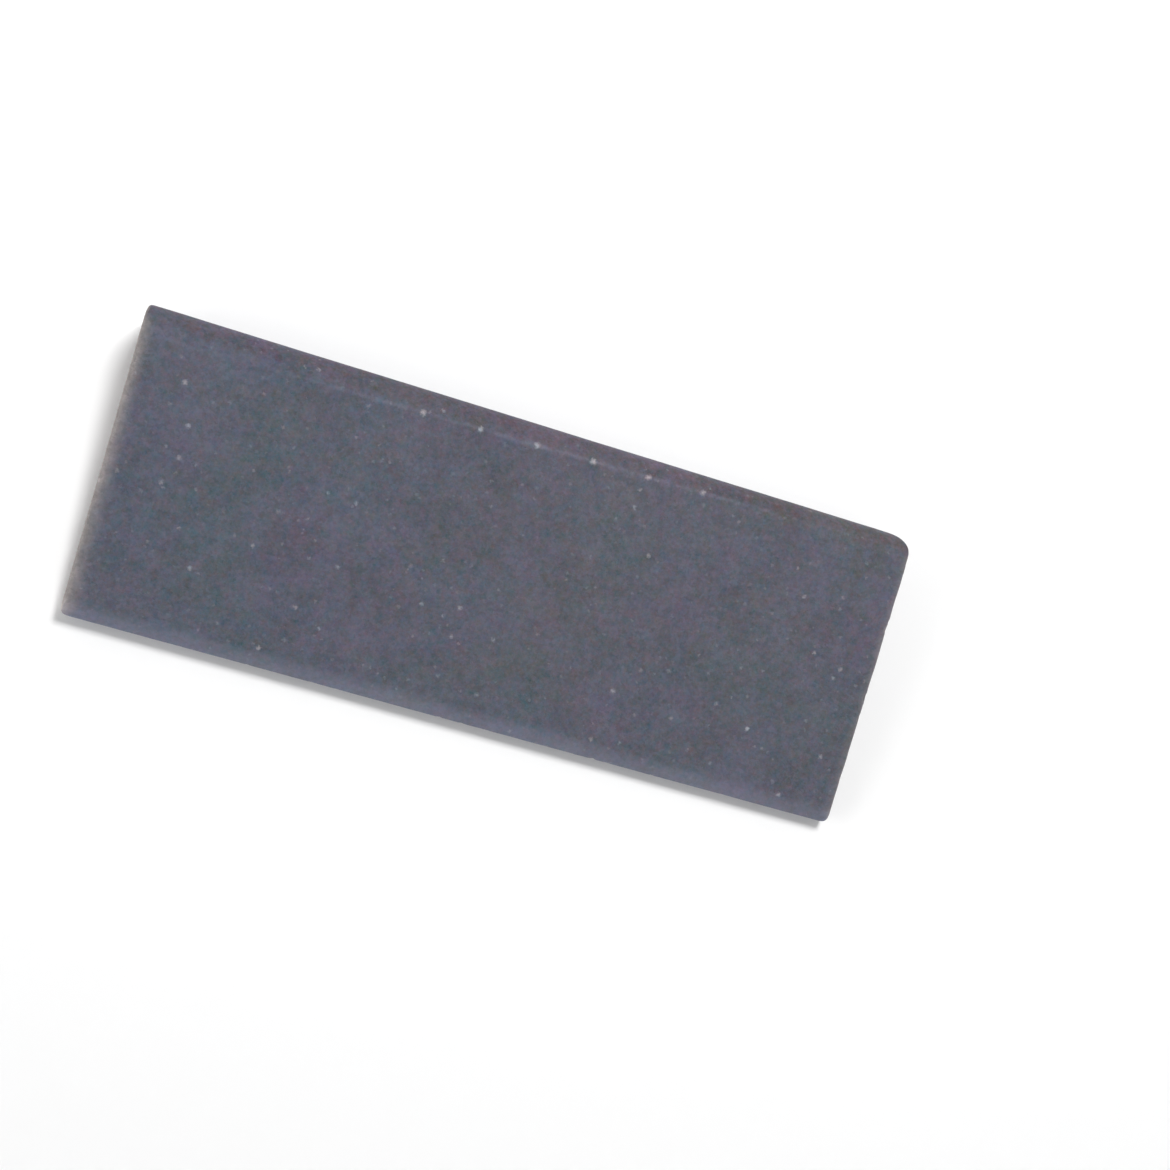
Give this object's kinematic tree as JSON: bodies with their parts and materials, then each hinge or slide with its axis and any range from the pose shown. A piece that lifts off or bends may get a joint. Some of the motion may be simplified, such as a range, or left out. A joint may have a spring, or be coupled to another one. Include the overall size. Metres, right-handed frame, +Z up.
{
  "type": "sharpening whetstone",
  "caption": "Wedge-section slip stone of bonded abrasive, thick rounded crown edge and thin rounded nose edge, for honing gouges and carving tools.",
  "frame": {"origin": "middle of the bounding box's base, with the stone lying on its lower flank", "axes": "+X along the length, towards the end whose crown corner is worn round; +Y from the thin nose edge to the thick crown edge; +Z up, out of the surface it lies on"},
  "size_m": [0.1142, 0.0444, 0.0094],
  "materials": {
    "bonded_abrasive": "matt dark blue-grey bonded grit, fine grained, with a few pale grains that glint"
  },
  "bodies": {
    "root": {"slip_stone": "bonded_abrasive"}
  },
  "joints": []
}
